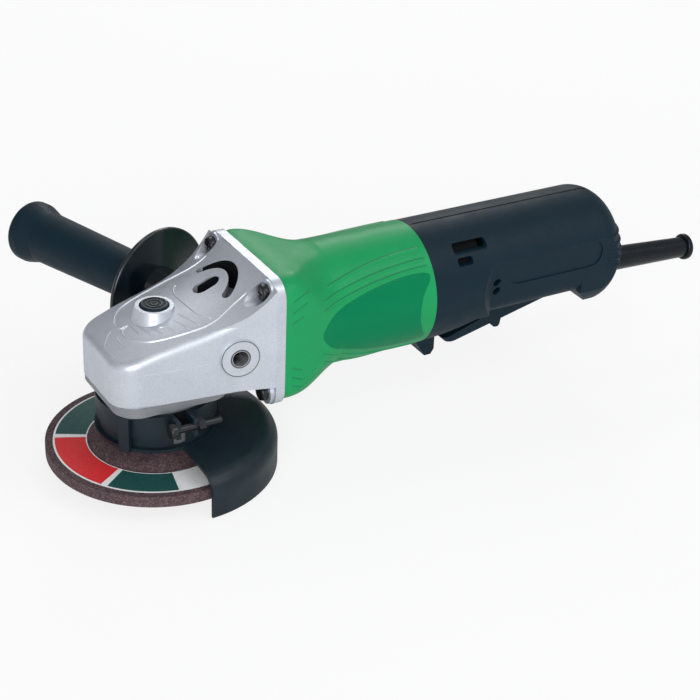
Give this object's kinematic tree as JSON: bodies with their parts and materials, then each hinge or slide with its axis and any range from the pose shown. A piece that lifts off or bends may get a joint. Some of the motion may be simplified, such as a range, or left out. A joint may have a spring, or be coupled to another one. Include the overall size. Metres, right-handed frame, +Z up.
{
  "type": "angle grinder",
  "caption": "Corded angle grinder with a cast gear head, flared motor barrel, paddle switch tail, side handle, wheel guard and depressed-centre wheel.",
  "frame": {"origin": "centre of the spindle's free lower end", "axes": "+Z up the spindle axis, +X along the motor from head to tail, side handle on +Y"},
  "size_m": [0.4018, 0.2173, 0.109],
  "materials": {
    "steel": "machined steel",
    "black_screws": "blackened steel, glossy",
    "cast_aluminium": "satin die casting",
    "black_sheet": "satin black paint on sheet steel",
    "black_plastic": "fine matte moulded plastic, blue-black",
    "gloss_black_plastic": "glossy moulded plastic",
    "green_plastic": "satin moulded plastic, green",
    "abrasive": "bonded abrasive grain",
    "rubber": "glossy soft rubber",
    "lamination": "stacked steel laminations",
    "copper": "lacquered copper",
    "brass": "stamped brass",
    "carbon": "pressed carbon",
    "inner_plastic": "moulded plastic"
  },
  "bodies": {
    "housing": {"gear_case": "cast_aluminium", "gear_case_screws": "black_screws", "bearing_box": "cast_aluminium", "bearing_box_screws": "black_screws", "bearing_retainer": "cast_aluminium", "needle_bearing": "steel", "spindle_bearing_outer_ring": "steel", "front_bearing_outer_ring": "steel", "rear_bearing_outer_ring": "steel", "inner_cover": "cast_aluminium", "motor_housing": "green_plastic", "fan_guide": "inner_plastic", "stator_core": "lamination", "stator_coils": "copper", "brush_holders": "brass", "carbon_brushes": "carbon", "handle_cover_left": "black_plastic", "handle_cover_right": "black_plastic", "handle_cover_screws": "black_screws", "switch_body": "inner_plastic", "noise_filter": "inner_plastic", "lever_pin": "steel", "cord_guard": "rubber", "side_handle_bolt": "steel", "side_handle_disc": "gloss_black_plastic", "side_handle_grip": "black_plastic"},
    "spindle": {"spindle": "steel", "spindle_bearing_inner_ring": "steel", "bevel_gear": "steel", "gear_ring": "steel", "inner_flange": "steel", "grinding_wheel": "abrasive", "wheel_nut": "steel"},
    "armature": {"armature_shaft": "steel", "armature_core": "lamination", "armature_windings": "copper", "commutator": "copper", "fan": "inner_plastic", "pinion": "steel", "pinion_nut": "steel", "front_bearing_inner_ring": "steel", "rear_bearing_inner_ring": "steel"},
    "guard": {"wheel_guard": "black_sheet", "guard_band": "black_sheet", "guard_clamp_screw": "black_screws", "guard_clamp_nut": "black_screws"},
    "lock": {"lock_button": "black_plastic", "lock_spring": "steel"},
    "lever": {"switch_lever": "black_plastic", "lock_off_pin": "steel"},
    "lock_off": {"lock_off_lever": "black_plastic"},
    "plunger": {"switch_plunger": "inner_plastic"}
  },
  "joints": [
    {"name": "spindle_spin", "type": "hinge", "parent": "housing", "child": "spindle", "pos_m": [0, 0, 0], "axis": [0, 0, 1], "continuous": true},
    {"name": "armature_spin", "type": "hinge", "parent": "housing", "child": "armature", "pos_m": [0, 0, 0.0684], "axis": [1, 0, 0], "continuous": true},
    {"name": "guard_turn", "type": "hinge", "parent": "housing", "child": "guard", "pos_m": [0, 0, 0], "axis": [0, 0, 1], "range_deg": [-90, 90]},
    {"name": "lock_press", "type": "slide", "parent": "housing", "child": "lock", "axis": [0, 0, -1], "range_m": [0, 0.0035], "stiffness_N_per_m": 600, "springref_m": -0.003, "deforming": ["lock_spring"]},
    {"name": "lever_squeeze", "type": "hinge", "parent": "housing", "child": "lever", "pos_m": [0.251, 0, 0.0574], "axis": [0, 1, 0], "range_deg": [0, 5.5], "stiffness_Nm_per_rad": 2, "springref_deg": -5.73},
    {"name": "lock_off_turn", "type": "hinge", "parent": "lever", "child": "lock_off", "pos_m": [0.2035, 0, 0.04668], "axis": [0, -1, 0], "range_deg": [0, 25], "stiffness_Nm_per_rad": 0.02, "springref_deg": -28.65},
    {"name": "plunger_press", "type": "slide", "parent": "housing", "child": "plunger", "axis": [0, 0, 1], "range_m": [0, 0.0029]}
  ],
  "couplings": [
    {"joint": "armature_spin", "follows": "spindle_spin", "ratio": 3},
    {"joint": "plunger_press", "follows": "lever_squeeze", "m_per_rad": 0.029}
  ]
}
